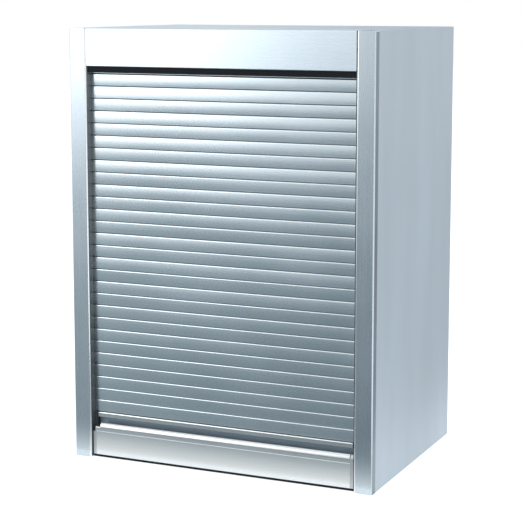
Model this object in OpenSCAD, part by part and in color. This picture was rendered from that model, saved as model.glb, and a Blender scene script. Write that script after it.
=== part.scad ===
// Cabinet with a roller shutter front.
// Boards make the case, two guide rails carry the slats, a handle bar lifts them into the head,
// and a sprung barrel behind the fascia balances their weight.
// Millimetres, +Z up, front towards -Y, origin at the middle of the base.

/* [Cabinet] */
// Width over the side panels
cabinet_w = 520; // [440:5:700]
// Depth from the rail faces to the rear edges of the side panels
cabinet_d = 375; // [300:5:480]
// Height over the rail caps
cabinet_h = 700; // [600:5:800]
// Thickness of the side, top and bottom boards and of the hanging rail
panel_t = 16; // [15:0.5:18]
// Thickness of the back board
back_t = 8; // [5:0.5:10]
// Distance from the rear edges of the sides to the back board
back_inset = 3; // [1:0.5:6]
// Height of the hanging rail inside the back
hanging_rail_h = 60; // [50:1:80]
// Diameter of the two wall screw holes
wall_hole_d = 6; // [4:0.5:8]
// Distance between the two wall screw holes
wall_hole_pitch = 320; // [200:8:352]
// Diameter of the dowels that join the boards
dowel_d = 8; // [6:1:9]
// Length of a dowel
dowel_len = 28; // [24:1:32]

/* [Guide rails] */
// Width of a rail's front face
rail_face = 30; // [28:0.5:40]
// Wall thickness of a rail
rail_wall = 2; // [1.6:0.1:2.4]
// Depth of the strip of rail that shows on the side of the cabinet
rail_strip = 14; // [11:0.5:16]
// Radius of a rail's front edges
rail_edge_r = 1.8; // [0.6:0.2:2.4]
// Distance from the rail faces back to the slats
curtain_set_back = 13; // [11:0.5:20]
// Thickness of the dark liner in a rail
liner_t = 1.2; // [0.8:0.1:1.6]
// Thickness of the cap on top of a rail
rail_cap_t = 2; // [1:0.5:4]

/* [Slats] */
// Sheet thickness of a slat
slat_t = 0.8; // [0.5:0.05:0.9]
// Radius of a slat's rounded face
slat_face_r = 100; // [80:5:140]
// Height by which each slat hangs over the next
slat_lap = 3; // [2:0.5:4]
// Step from slat to slat when they are gathered in the head
stack_step = 1.3; // [1.3:0.05:1.6]
// Gap between a slat's end and the bottom of its channel
slat_end_gap = 1; // [0.5:0.1:2]

/* [Head] */
// Height of the fascia, from its lower edge to the top of the cabinet
fascia_drop = 60; // [54:1:70]
// Sheet thickness of the fascia
fascia_t = 2; // [1.5:0.1:3]
// Depth of the fascia's upper flange
fascia_flange = 20; // [16:1:24]
// Height of the dark seal under the fascia
head_seal_h = 10; // [7:0.5:14]
// Height of the uppermost slat that shows under the head seal
top_reveal = 2; // [1:0.5:8]
// Outer diameter of the barrel tube
barrel_d = 40; // [36:1:44]
// Wall thickness of the barrel tube
barrel_wall = 1.8; // [1.2:0.1:2.6]
// Diameter of the fixed axle
axle_d = 12; // [10:0.5:14]
// Wire thickness of the spring round the axle
spring_wire = 2.7; // [1.5:0.1:3.5]
// Width of a barrel bracket
bracket_w = 48; // [44:1:56]
// Plate thickness of a barrel bracket
bracket_t = 3; // [2:0.5:4]
// Width of a hanger strap
strap_w = 25; // [15:1:40]
// Distance between the two hanger straps
strap_pitch = 260; // [150:5:300]
// Thickness of a hanger strap
strap_t = 0.8; // [0.5:0.1:1.2]

/* [Handle bar] */
// Height of the handle bar profile
bar_h = 70; // [60:0.5:84]
// Distance from the rail faces back to the bar's face
bar_set_back = 4.5; // [3.5:0.5:6]
// Depth of the bar behind the front of the slats
bar_tail = 9; // [7:0.5:12]
// Wall thickness of the bar profile
bar_wall = 1.8; // [1.4:0.1:2.2]
// Height of the finger lip
lip_h = 14.5; // [12:0.5:18]
// Distance by which the lip stands out from the bar's face
lip_out = 1.4; // [0.6:0.2:2.4]
// Radius of the lip's upper edge
lip_r = 4; // [2:0.5:5]
// Height by which the bar rises above the lip's crest
bar_rise = 17; // [15:0.5:20]
// Height of the brow over the finger groove
brow_h = 9; // [6:0.5:10]
// Depth of the finger groove below the lip's crest
groove_sink = 6; // [3:0.5:8]
// Length by which the lip's crest stops short of the bar's ends
lip_inset = 8; // [4:0.5:20]
// Height of the rubber seal under the bar
bottom_seal_h = 4.7; // [2.5:0.1:5.5]
// Thickness of the plate of an end cap
cap_plate_t = 6; // [2:0.5:8]

/* [Screws] */
// Shank diameter of the wood screws
screw_d = 3.5; // [3:0.5:4]
// Head diameter of the wood screws
screw_head_d = 7; // [6:0.5:8]
// Height of a pan head
screw_head_h = 2.4; // [1.8:0.2:3]
// Length of thread in the board
screw_grip = 11; // [8:0.5:12]

/* [Hidden] */
$fn = 64;

// Clearances
slide_gap = 0.3;
seat_gap = 0.1;
axle_fit = 0.08;
joint_gap = 0.5;
stack_gap = 2;
seal_gap = 0.5;
floor_gap = 0.3;
board_gap = 2;
overcut = 1;

// Case
half_w = cabinet_w / 2;
front = -cabinet_d / 2;
inner = half_w - panel_t;
open_half = half_w - rail_face;
under_top = cabinet_h - panel_t;
board_back = cabinet_d - back_inset - back_t;
dowel_in_side = 11;
dowel_inset = 60;
dowel_z = [panel_t / 2, cabinet_h - panel_t / 2];

// Shutter levels, from the floor up
slat_count = 29;
steps = slat_count - 1;
bar_bottom = floor_gap + bottom_seal_h;
bar_top = bar_bottom + bar_h;
curtain_bottom = bar_top + joint_gap;
fascia_bottom = cabinet_h - fascia_drop;
seal_bottom = fascia_bottom - head_seal_h;
top_slat_z = seal_bottom - top_reveal;
slat_pitch = (top_slat_z - curtain_bottom) / steps;
slat_h = slat_pitch + slat_lap;
travel = fascia_bottom - curtain_bottom;

// Rail channel, deep enough for the gathered slats
function face_lean(r, z) = slat_face_r - sqrt(r * r - z * z);
slat_depth = face_lean(slat_face_r - slat_t, slat_h);
lip_back = curtain_set_back - slide_gap - liner_t;
channel_back = curtain_set_back + steps * stack_step + slat_depth + stack_gap;
rail_depth = channel_back + rail_wall;
rail_h = cabinet_h - rail_cap_t;
web = inner - rail_wall;
slat_half = web - slat_end_gap;
stop_h = bar_bottom - slide_gap;

// Head
fascia_foot = 8;
bracket_h = bracket_w;
barrel_room = max(bracket_w / 2, barrel_d / 2 + slide_gap + strap_t) + joint_gap;
barrel_v = rail_depth + barrel_room;
barrel_z = under_top - barrel_room;
boss_len = 12;
boss_wall = 7;
boss_d = axle_d + 2 * boss_wall;
boss_end = inner - bracket_t - boss_len;
plug_flange_t = 3;
barrel_half = boss_end - 2 * slide_gap - plug_flange_t;
barrel_bore = barrel_d - 2 * barrel_wall;
hub_len = 22;
hub_wall = 6;
hub_d = axle_d + 2 * hub_wall;
spring_bore = hub_d + 2 * slide_gap;
spring_d = spring_bore + 2 * spring_wire;
spring_half = barrel_half - hub_len / 2;

// Handle bar
lip_top = bar_top - bar_rise;
lip_bottom = lip_top - lip_h;
lip_front = bar_set_back - lip_out;
groove_floor = lip_top - groove_sink;
groove_slope = groove_sink / 2;
brow_bottom = bar_top - brow_h;
bar_back = curtain_set_back + bar_tail;
groove_back = bar_back - bar_wall;
cap_half = open_half - liner_t - slide_gap * 2;
bar_half = cap_half - cap_plate_t;
lip_crest = 1;
board_front = bar_back + board_gap;

// Screws: a row up each rail, two on each bracket and a row along the fascia
rail_screw_inset = 105;
rail_screw_z = [rail_screw_inset, rail_h / 2, rail_h - rail_screw_inset];
rail_screw_v = (curtain_set_back + channel_back) / 2;
bracket_screw_z = [-1, 1] * (bracket_h / 2 - screw_head_d);
fascia_screw_inset = 55;
fascia_screw_x = [-1, 0, 1] * (open_half - fascia_screw_inset);
fascia_screw_v = (fascia_t + fascia_flange) / 2;

// Colours
ALUMINIUM = [0.72, 0.76, 0.79];
BOARD = [0.73, 0.77, 0.80];
DARK = [0.14, 0.16, 0.18];
GREY = [0.50, 0.53, 0.55];
STEEL = [0.55, 0.57, 0.59];
WOOD = [0.76, 0.62, 0.42];
WEBBING = [0.25, 0.26, 0.28];

function two_digits(i) = str(i < 10 ? "0" : "", i);
function slat_name(i) = str("slat_", two_digits(i));

// Helpers
// A profile drawn in depth and height, depth counted back from the rail faces, run along the width
module along_width(half_len) {
    translate([0, front, 0])
        rotate([90, 0, 90])
            linear_extrude(2 * half_len, center = true)
                children();
}

// A plan drawn in width and depth, run up from z0 to z1
module upright(z0, z1) {
    translate([0, front, z0])
        linear_extrude(z1 - z0)
            children();
}

// A flat rectangle given by its two corners
module area(low, high) {
    translate(low)
        square(high - low);
}

// What rounding a square corner takes away, with the signs of the way into the solid
module corner_cut(corner, way, r) {
    difference() {
        translate(corner + [min(way[0], 0), min(way[1], 0)] * r)
            square(r);
        translate(corner + way * r)
            circle(r);
    }
}

// A rod along X from x0 to x1, at depth v and height z
module rod_x(d, x0, x1, v, z) {
    translate([x0, front + v, z])
        rotate([0, 90, 0])
            cylinder(d = d, h = x1 - x0);
}

// A hole or bar along Y
module rod_y(d, v0, v1, x, z) {
    translate([x, front + v0, z])
        rotate([-90, 0, 0])
            cylinder(d = d, h = v1 - v0);
}

module left_side() {
    mirror([1, 0, 0])
        children();
}

module both_sides() {
    children();
    left_side()
        children();
}

// Case boards
module dowel_set(d, len_in, len_out) {
    for (v = [rail_depth + dowel_inset, board_back - dowel_inset])
        for (z = dowel_z)
            rod_x(d, inner - len_in, inner + len_out, v, z);
}

module rail_screw_holes() {
    for (z = rail_screw_z)
        rod_x(screw_d + seat_gap, inner - seat_gap, inner + screw_grip + seat_gap, rail_screw_v, z);
}

module bracket_screw_holes() {
    for (z = bracket_screw_z)
        rod_x(screw_d + seat_gap, inner - bracket_t - seat_gap, inner + screw_grip + seat_gap,
              barrel_v, barrel_z + z);
}

module side_panel() {
    color(BOARD)
        difference() {
            upright(0, cabinet_h)
                area([inner, rail_strip], [half_w, cabinet_d]);
            dowel_set(dowel_d + seat_gap, seat_gap, dowel_in_side + seat_gap);
            rail_screw_holes();
            bracket_screw_holes();
        }
}

module case_board(z0, front_edge) {
    difference() {
        upright(z0, z0 + panel_t) {
            area([-open_half + joint_gap, front_edge], [open_half - joint_gap, rail_depth + joint_gap * 2]);
            area([-inner, rail_depth + joint_gap], [inner, board_back]);
        }
        both_sides()
            dowel_set(dowel_d + seat_gap, dowel_len - dowel_in_side + seat_gap, seat_gap);
    }
}

module top_panel() {
    color(BOARD)
        difference() {
            case_board(under_top, fascia_t);
            for (x = fascia_screw_x)
                translate([x, front + fascia_screw_v, under_top - seat_gap])
                    cylinder(d = screw_d + seat_gap, h = screw_grip + seat_gap * 2);
        }
}

module bottom_panel() {
    color(BOARD)
        case_board(0, board_front);
}

module wall_holes(v0, v1) {
    for (x = [-wall_hole_pitch / 2, wall_hole_pitch / 2])
        rod_y(wall_hole_d, v0, v1, x, under_top - hanging_rail_h / 2);
}

module back_panel() {
    color(BOARD)
        difference() {
            upright(0, cabinet_h)
                area([-inner, board_back], [inner, board_back + back_t]);
            wall_holes(board_back - overcut, board_back + back_t + overcut);
        }
}

module hanging_rail() {
    color(BOARD)
        difference() {
            upright(under_top - hanging_rail_h, under_top)
                area([-inner, board_back - panel_t], [inner, board_back]);
            wall_holes(board_back - panel_t - overcut, board_back + overcut);
        }
}

module carcass_dowels() {
    color(WOOD)
        both_sides()
            dowel_set(dowel_d, dowel_len - dowel_in_side, dowel_in_side);
}

// Guide rails
module rail_profile() {
    difference() {
        union() {
            area([open_half, 0], [half_w, rail_wall]);
            area([open_half, 0], [open_half + rail_wall, lip_back]);
            area([half_w - rail_wall, 0], [half_w, rail_strip]);
            area([web, rail_strip - rail_wall], [half_w, rail_strip]);
            area([web, min(rail_strip, lip_back) - rail_wall], [inner, rail_depth]);
            area([open_half, lip_back - rail_wall], [inner, lip_back]);
            area([open_half, channel_back], [inner, rail_depth]);
        }
        corner_cut([open_half, 0], [1, 1], rail_edge_r);
        corner_cut([half_w, 0], [-1, 1], rail_edge_r);
    }
}

module guide_rail() {
    color(ALUMINIUM)
        difference() {
            upright(0, rail_h)
                rail_profile();
            for (z = rail_screw_z)
                rail_screw(rail_screw_v, z, seat_gap);
        }
}

// Countersunk screw through a rail's web, with its head flush in the channel
module rail_screw(v, z, grow) {
    translate([web, front + v, z])
        rotate([0, 90, 0])
            cylinder(d1 = screw_head_d + grow, d2 = screw_d + grow, h = rail_wall);
    rod_x(screw_d + grow, web + rail_wall / 2, inner + screw_grip, v, z);
}

module rail_screws() {
    color(STEEL)
        both_sides()
            for (z = rail_screw_z)
                rail_screw(rail_screw_v, z, 0);
}

module guide_liner() {
    color(DARK)
        upright(stop_h + slide_gap, fascia_bottom - slide_gap) {
            area([open_half - liner_t, rail_wall], [open_half, lip_back + liner_t]);
            area([open_half - liner_t, lip_back], [web - slide_gap, lip_back + liner_t]);
        }
}

module rail_caps() {
    color(ALUMINIUM)
        both_sides()
            upright(rail_h, cabinet_h)
                difference() {
                    union() {
                        area([open_half, 0], [half_w, rail_strip]);
                        area([open_half, 0], [inner, rail_depth]);
                    }
                    corner_cut([open_half, 0], [1, 1], rail_edge_r);
                    corner_cut([half_w, 0], [-1, 1], rail_edge_r);
                }
}

// Stops at the foot of the channels, on which the handle bar's shoes come down
module rail_stops() {
    color(DARK)
        both_sides()
            upright(0, stop_h)
                area([open_half, lip_back], [web, channel_back]);
}

// Head
module fascia() {
    color(ALUMINIUM)
        difference() {
            along_width(open_half - joint_gap) {
                area([0, fascia_bottom], [fascia_t, cabinet_h - joint_gap]);
                area([0, under_top - fascia_t], [fascia_flange, under_top]);
                area([0, fascia_bottom], [fascia_foot, fascia_bottom + fascia_t]);
            }
            for (x = fascia_screw_x)
                translate([x, front + fascia_screw_v, under_top - fascia_t - seat_gap])
                    cylinder(d = screw_d + seat_gap, h = fascia_t + seat_gap * 2);
        }
}

module fascia_screws() {
    color(STEEL)
        for (x = fascia_screw_x)
            translate([x, front + fascia_screw_v, under_top - fascia_t]) {
                translate([0, 0, -screw_head_h])
                    cylinder(d = screw_head_d, h = screw_head_h);
                cylinder(d = screw_d, h = fascia_t + screw_grip);
            }
}

// Rubber strip that hangs from the fascia, with a lip that wipes the slats
module head_seal() {
    stem_front = 3;
    stem_back = 5;
    wiper_t = 2.2;
    fillet = 1.5;
    tip = curtain_set_back - seal_gap;
    color(DARK)
        along_width(open_half - liner_t - slide_gap)
            polygon([
                [stem_front, fascia_bottom],
                [stem_front, seal_bottom],
                [tip, seal_bottom],
                [tip, seal_bottom + wiper_t / 2],
                [stem_back + fillet, seal_bottom + wiper_t],
                [stem_back, seal_bottom + wiper_t + fillet],
                [stem_back, fascia_bottom]
            ]);
}

module barrel_tube() {
    color(STEEL)
        difference() {
            rod_x(barrel_d, -barrel_half, barrel_half, barrel_v, barrel_z);
            rod_x(barrel_bore, -barrel_half - overcut, barrel_half + overcut, barrel_v, barrel_z);
        }
}

module barrel_plug() {
    color(DARK)
        difference() {
            union() {
                rod_x(barrel_d, barrel_half, barrel_half + plug_flange_t, barrel_v, barrel_z);
                rod_x(barrel_bore - seat_gap, barrel_half - plug_flange_t, barrel_half, barrel_v, barrel_z);
                rod_x(hub_d, barrel_half - hub_len, barrel_half, barrel_v, barrel_z);
            }
            rod_x(axle_d + 2 * axle_fit, barrel_half - hub_len - overcut,
                  barrel_half + plug_flange_t + overcut, barrel_v, barrel_z);
        }
}

module barrel_axle() {
    color(STEEL)
        rod_x(axle_d, -inner + bracket_t, inner - bracket_t, barrel_v, barrel_z);
}

// Outer form of the torsion spring, seated on the two hubs
module barrel_spring() {
    color(STEEL)
        difference() {
            rod_x(spring_d, -spring_half, spring_half, barrel_v, barrel_z);
            rod_x(spring_bore, -spring_half - overcut, spring_half + overcut, barrel_v, barrel_z);
        }
}

module barrel_bracket() {
    color(STEEL)
        difference() {
            union() {
                translate([inner - bracket_t, front + barrel_v - bracket_w / 2, barrel_z - bracket_h / 2])
                    cube([bracket_t, bracket_w, bracket_h]);
                rod_x(boss_d, boss_end, inner - bracket_t, barrel_v, barrel_z);
            }
            rod_x(axle_d + seat_gap, boss_end - overcut, inner - bracket_t, barrel_v, barrel_z);
            bracket_screw_holes();
        }
}

module bracket_screws() {
    color(STEEL)
        both_sides()
            for (z = bracket_screw_z) {
                rod_x(screw_d, inner - bracket_t, inner + screw_grip, barrel_v, barrel_z + z);
                rod_x(screw_head_d, inner - bracket_t - screw_head_h, inner - bracket_t,
                      barrel_v, barrel_z + z);
            }
}

// Each strap leaves the top slat's upper edge, meets the barrel at a tangent and lies over its top
strap_foot = [curtain_set_back + slat_depth - slat_t / 2, top_slat_z + slat_h + slide_gap];
strap_r = barrel_d / 2 + slide_gap;
strap_run = strap_foot - [barrel_v, barrel_z];
strap_angle = atan2(strap_run[1], strap_run[0]) + 360 - acos(strap_r / norm(strap_run));
strap_dir = [cos(strap_angle), sin(strap_angle)];
strap_wrap = 110;
strap_parts = 16;

// Points of the strap at a given distance from the barrel, from the slat to the end of the wrap
function strap_line(r, lift) = concat(
    [strap_foot + strap_dir * lift],
    [for (k = [0 : strap_parts])
        let (a = strap_angle - strap_wrap * k / strap_parts)
        [barrel_v + r * cos(a), barrel_z + r * sin(a)]]
);

function reversed(list) = [for (k = [len(list) - 1 : -1 : 0]) list[k]];

module strap_profile() {
    polygon(concat(strap_line(strap_r, 0), reversed(strap_line(strap_r + strap_t, strap_t))));
}

module hanger_straps() {
    color(WEBBING)
        for (x = [-strap_pitch / 2, strap_pitch / 2])
            translate([x, 0, 0])
                along_width(strap_w / 2)
                    strap_profile();
}

// Handle bar: a grip profile with a finger lip, and a brow profile on top of its rear wall
module grip_outline() {
    crest_back = lip_front + lip_r + lip_crest;
    difference() {
        polygon([
            [bar_set_back, bar_bottom],
            [bar_set_back, lip_bottom],
            [lip_front, lip_bottom + lip_out],
            [lip_front, lip_top],
            [crest_back, lip_top],
            [crest_back + groove_slope, groove_floor],
            [groove_back, groove_floor],
            [groove_back, brow_bottom],
            [bar_back, brow_bottom],
            [bar_back, bar_bottom]
        ]);
        corner_cut([lip_front, lip_top], [1, -1], lip_r);
    }
}

module brow_outline() {
    area([curtain_set_back, brow_bottom], [bar_back, bar_top]);
}

// What is open above the groove's floor, in front of the brow
module groove_space() {
    area([lip_front - overcut, groove_floor], [curtain_set_back, bar_top + overcut]);
}

module handle_bar() {
    color(ALUMINIUM)
        difference() {
            along_width(bar_half)
                difference() {
                    grip_outline();
                    area([bar_set_back + bar_wall, bar_bottom + bar_wall],
                         [groove_back, groove_floor - bar_wall]);
                }
            both_sides()
                translate([bar_half, 0, 0])
                    along_width(lip_inset)
                        groove_space();
        }
}

module handle_brow() {
    color(ALUMINIUM)
        along_width(bar_half)
            difference() {
                brow_outline();
                area([curtain_set_back + bar_wall, brow_bottom + bar_wall],
                     [groove_back, bar_top - bar_wall]);
            }
}

// End cap: a plate over the bar's end, a neck past the rail's lip and a shoe in the rail channel
module handle_cap() {
    color(GREY) {
        translate([(bar_half + cap_half) / 2, 0, 0])
            along_width(cap_plate_t / 2)
                difference() {
                    union() {
                        grip_outline();
                        brow_outline();
                    }
                    groove_space();
                }
        upright(bar_bottom, bar_top) {
            area([bar_half + cap_plate_t / 2, curtain_set_back], [slat_half, bar_back]);
            area([open_half + slide_gap, curtain_set_back], [slat_half, channel_back - slide_gap]);
        }
    }
}

module bottom_seal() {
    edge = 2;
    color(DARK)
        along_width(bar_half)
            polygon([
                [bar_set_back + edge, bar_bottom],
                [bar_back - edge, bar_bottom],
                [bar_back - edge, floor_gap + bottom_seal_h / 2],
                [bar_back - 2 * edge, floor_gap],
                [bar_set_back + 2 * edge, floor_gap],
                [bar_set_back + edge, floor_gap + bottom_seal_h / 2]
            ]);
}

// A slat is a strip of an arched sheet: upright at its lower edge, leaning back at its upper edge
module slat_profile() {
    intersection() {
        translate([slat_face_r, 0])
            difference() {
                circle(slat_face_r);
                circle(slat_face_r - slat_t);
            }
        square([slat_face_r, slat_h]);
    }
}

module slat(i) {
    color(ALUMINIUM)
        along_width(slat_half)
            translate([curtain_set_back, top_slat_z - i * slat_pitch])
                slat_profile();
}

left_side() side_panel();  // side_panel_left
side_panel();  // side_panel_right
top_panel();
bottom_panel();
back_panel();
hanging_rail();
carcass_dowels();
left_side() guide_rail();  // guide_rail_left
guide_rail();  // guide_rail_right
left_side() guide_liner();  // guide_liner_left
guide_liner();  // guide_liner_right
rail_caps();
rail_stops();
rail_screws();
fascia();
fascia_screws();
head_seal();
barrel_tube();
left_side() barrel_plug();  // barrel_plug_left
barrel_plug();  // barrel_plug_right
barrel_axle();
barrel_spring();
left_side() barrel_bracket();  // barrel_bracket_left
barrel_bracket();  // barrel_bracket_right
bracket_screws();
hanger_straps();
handle_bar();
handle_brow();
left_side() handle_cap();  // handle_cap_left
handle_cap();  // handle_cap_right
bottom_seal();
for (i = [0 : steps])
    slat(i);
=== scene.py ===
"""Looks of a cabinet with an aluminium roller shutter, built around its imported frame."""

import math
import random
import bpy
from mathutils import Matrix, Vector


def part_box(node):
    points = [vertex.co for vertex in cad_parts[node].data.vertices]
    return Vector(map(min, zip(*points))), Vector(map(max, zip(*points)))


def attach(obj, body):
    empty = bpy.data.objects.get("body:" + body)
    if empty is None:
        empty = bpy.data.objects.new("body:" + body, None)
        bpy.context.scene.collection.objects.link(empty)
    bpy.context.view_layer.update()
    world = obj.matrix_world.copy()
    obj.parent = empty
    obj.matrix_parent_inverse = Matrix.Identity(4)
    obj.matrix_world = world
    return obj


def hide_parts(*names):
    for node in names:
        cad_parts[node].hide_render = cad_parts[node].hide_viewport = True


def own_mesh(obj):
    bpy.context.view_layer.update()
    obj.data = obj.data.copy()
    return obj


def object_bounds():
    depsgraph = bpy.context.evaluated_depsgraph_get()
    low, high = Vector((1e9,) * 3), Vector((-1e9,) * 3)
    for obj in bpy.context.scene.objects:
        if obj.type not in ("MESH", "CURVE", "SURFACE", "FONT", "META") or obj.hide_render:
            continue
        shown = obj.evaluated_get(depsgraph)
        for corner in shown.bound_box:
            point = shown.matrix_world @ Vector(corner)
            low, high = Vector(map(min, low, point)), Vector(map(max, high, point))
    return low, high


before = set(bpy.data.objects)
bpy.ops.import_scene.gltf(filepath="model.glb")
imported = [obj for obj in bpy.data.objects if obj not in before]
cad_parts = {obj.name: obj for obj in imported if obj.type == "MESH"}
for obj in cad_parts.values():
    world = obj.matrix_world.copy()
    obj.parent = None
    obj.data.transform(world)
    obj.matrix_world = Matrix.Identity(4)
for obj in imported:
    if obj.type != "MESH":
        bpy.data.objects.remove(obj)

from types import SimpleNamespace

import bmesh
import bpy
from bpy.props import FloatProperty, FloatVectorProperty, IntProperty, PointerProperty
from mathutils import Matrix, Vector

bl_info = {
    "name": "Roller Shutter Cabinet",
    "version": (1, 0, 0),
    "blender": (4, 5, 0),
    "location": "View3D > Sidebar > Cabinet",
    "description": "Dresses the frame of a roller shutter cabinet and lights it",
    "category": "Object",
}

CAD_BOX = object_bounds()
MM = 0.001
TOUCHING = 0.001 * MM
SLAT_NODES = sorted(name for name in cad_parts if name.startswith("slat_"))

# Places that the frame gives, in metres
RAIL_LOW, RAIL_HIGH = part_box("guide_rail_right")
LINER_LOW, LINER_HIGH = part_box("guide_liner_right")
PANEL_LOW, PANEL_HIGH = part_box("side_panel_right")
FASCIA_LOW, FASCIA_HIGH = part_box("fascia")
SEAL_LOW, SEAL_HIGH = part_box("head_seal")
GRIP_LOW, GRIP_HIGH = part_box("handle_bar")
BROW_LOW, BROW_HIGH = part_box("handle_brow")
CAP_LOW, CAP_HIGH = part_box("handle_cap_right")
TOP_LOW, TOP_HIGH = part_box("top_panel")
BASE_LOW, BASE_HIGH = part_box("bottom_panel")
FOOT_LOW, FOOT_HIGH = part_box("bottom_seal")
TUBE_LOW, TUBE_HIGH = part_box("barrel_tube")
SPRING_LOW, SPRING_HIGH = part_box("barrel_spring")
SLAT_LOW, SLAT_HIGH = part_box(SLAT_NODES[0])

# Sizes that follow from those places, with depths counted from the front of the rails
FRONT = RAIL_LOW.y
OPEN_HALF = RAIL_LOW.x
HALF_WIDTH = RAIL_HIGH.x
HEIGHT = CAD_BOX[1].z
INNER = PANEL_LOW.x
RAIL_WALL = LINER_LOW.y - FRONT
LINER_SHEET = OPEN_HALF - LINER_LOW.x
RAIL_STRIP = PANEL_LOW.y - FRONT
LIP_BACK = LINER_HIGH.y - LINER_SHEET - FRONT
RAIL_DEPTH = RAIL_HIGH.y - FRONT
CURTAIN = SLAT_LOW.y - FRONT
FASCIA_SHEET = TOP_LOW.y - FRONT
SLIDE_GAP = SLAT_LOW.y - LINER_HIGH.y
CAP_END = LINER_LOW.x - 2 * SLIDE_GAP


class CabinetSizes(bpy.types.PropertyGroup):
    """Sizes that the looks add to the frame."""

    board_round: FloatProperty(
        name="Board edge", description="Rounding of the edge bands", default=0.8 * MM, unit="LENGTH")
    rail_round: FloatProperty(
        name="Rail edge", description="Radius of the rails' front edges", default=2.8 * MM, unit="LENGTH")
    small_round: FloatProperty(
        name="Small edge", description="Radius of the other profile edges", default=0.5 * MM, unit="LENGTH")
    fascia_foot: FloatProperty(
        name="Fascia foot", description="Depth of the fascia's lower flange", default=8 * MM, unit="LENGTH")
    seal_stem: FloatProperty(
        name="Seal stem", description="Thickness of the head seal's stem", default=2 * MM, unit="LENGTH")
    seal_wiper: FloatProperty(
        name="Seal wiper", description="Thickness of the lip that wipes the slats",
        default=2.2 * MM, unit="LENGTH")
    liner_bead: FloatProperty(
        name="Liner bead", description="Radius of the bead along a liner", default=0.7 * MM, unit="LENGTH")
    slat_sheet: FloatProperty(
        name="Slat sheet", description="Sheet thickness of a slat", default=0.4 * MM, unit="LENGTH")
    slat_face_radius: FloatProperty(
        name="Slat face", description="Radius of a slat's rounded face", default=160 * MM, unit="LENGTH")
    slat_middle: FloatProperty(
        name="Slat middle", description="Height at which a slat's face is upright",
        default=9.5 * MM, unit="LENGTH")
    shoulder_start: FloatProperty(
        name="Shoulder start", description="Height on a slat where its shoulder begins",
        default=17.9 * MM, unit="LENGTH")
    shoulder_radius: FloatProperty(
        name="Shoulder radius", description="Radius of a slat's shoulder", default=2.2 * MM, unit="LENGTH")
    shoulder_height: FloatProperty(
        name="Shoulder height", description="Height over which the shoulder bends",
        default=1.7 * MM, unit="LENGTH")
    shoulder_slope: FloatProperty(
        name="Shoulder slope", description="Height of the slope behind the shoulder",
        default=0.4 * MM, unit="LENGTH")
    slat_curl: FloatProperty(
        name="Lower curl", description="Radius of the curl along a slat's lower edge",
        default=0.25 * MM, unit="LENGTH")
    # Painted shade: height of the near-black line along a slat's lower edge.
    joint_shade_height: FloatProperty(
        name="Slat joint", description="Height of the dull joint line along a slat's lower edge",
        default=0.45 * MM, unit="LENGTH")
    slat_lean: FloatProperty(
        name="Slat lean", description="Largest lean of a slat out of line",
        default=math.radians(1.1), subtype="ANGLE")
    bar_step: FloatProperty(
        name="Lip step", description="Distance of the bar's face behind its lip",
        default=1.4 * MM, unit="LENGTH")
    bar_wall: FloatProperty(
        name="Bar wall", description="Wall of the handle bar", default=1.8 * MM, unit="LENGTH")
    lip_height: FloatProperty(
        name="Lip height", description="Height of the finger lip", default=14.5 * MM, unit="LENGTH")
    lip_round: FloatProperty(
        name="Lip curve", description="Radius of the curve that leads up to the lip's crest",
        default=10.5 * MM, unit="LENGTH")
    lip_turn: FloatProperty(
        name="Lip turn", description="Angle through which the lip curves back",
        default=math.radians(42), subtype="ANGLE")
    lip_depth: FloatProperty(
        name="Lip depth", description="Depth of the finger lip at its crest",
        default=6.5 * MM, unit="LENGTH")
    lip_inset: FloatProperty(
        name="Lip inset", description="Length by which the lip stops short of the bar's left end",
        default=8 * MM, unit="LENGTH")
    notch_round: FloatProperty(
        name="Notch edge", description="Radius of the lip's edge where its crest stops",
        default=1.6 * MM, unit="LENGTH")
    bar_rise: FloatProperty(
        name="Bar rise", description="Height of the bar above the lip's crest",
        default=17 * MM, unit="LENGTH")
    brow_round: FloatProperty(
        name="Brow edge", description="Radius of the brow's upper front edge", default=3 * MM, unit="LENGTH")
    groove_sink: FloatProperty(
        name="Groove sink", description="Depth of the groove below the lip's crest",
        default=6 * MM, unit="LENGTH")
    cap_skin: FloatProperty(
        name="Cap skin", description="Thickness of an end cap's plate", default=1.2 * MM, unit="LENGTH")
    spring_wire: FloatProperty(
        name="Spring wire", description="Thickness of the spring's wire", default=2.7 * MM, unit="LENGTH")
    spring_pitch: FloatProperty(
        name="Spring pitch", description="Distance from turn to turn of the spring",
        default=4.5 * MM, unit="LENGTH")
    strap_sheet: FloatProperty(
        name="Strap", description="Thickness of a hanger strap", default=0.8 * MM, unit="LENGTH")
    strap_wrap: FloatProperty(
        name="Strap wrap", description="Turn of a strap round the barrel",
        default=math.radians(110), subtype="ANGLE")
    screw_head: FloatProperty(
        name="Screw head", description="Height of a pan head", default=2.4 * MM, unit="LENGTH")
    screw_shank: FloatProperty(
        name="Screw shank", description="Diameter of a screw's shank", default=3.5 * MM, unit="LENGTH")


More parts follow.
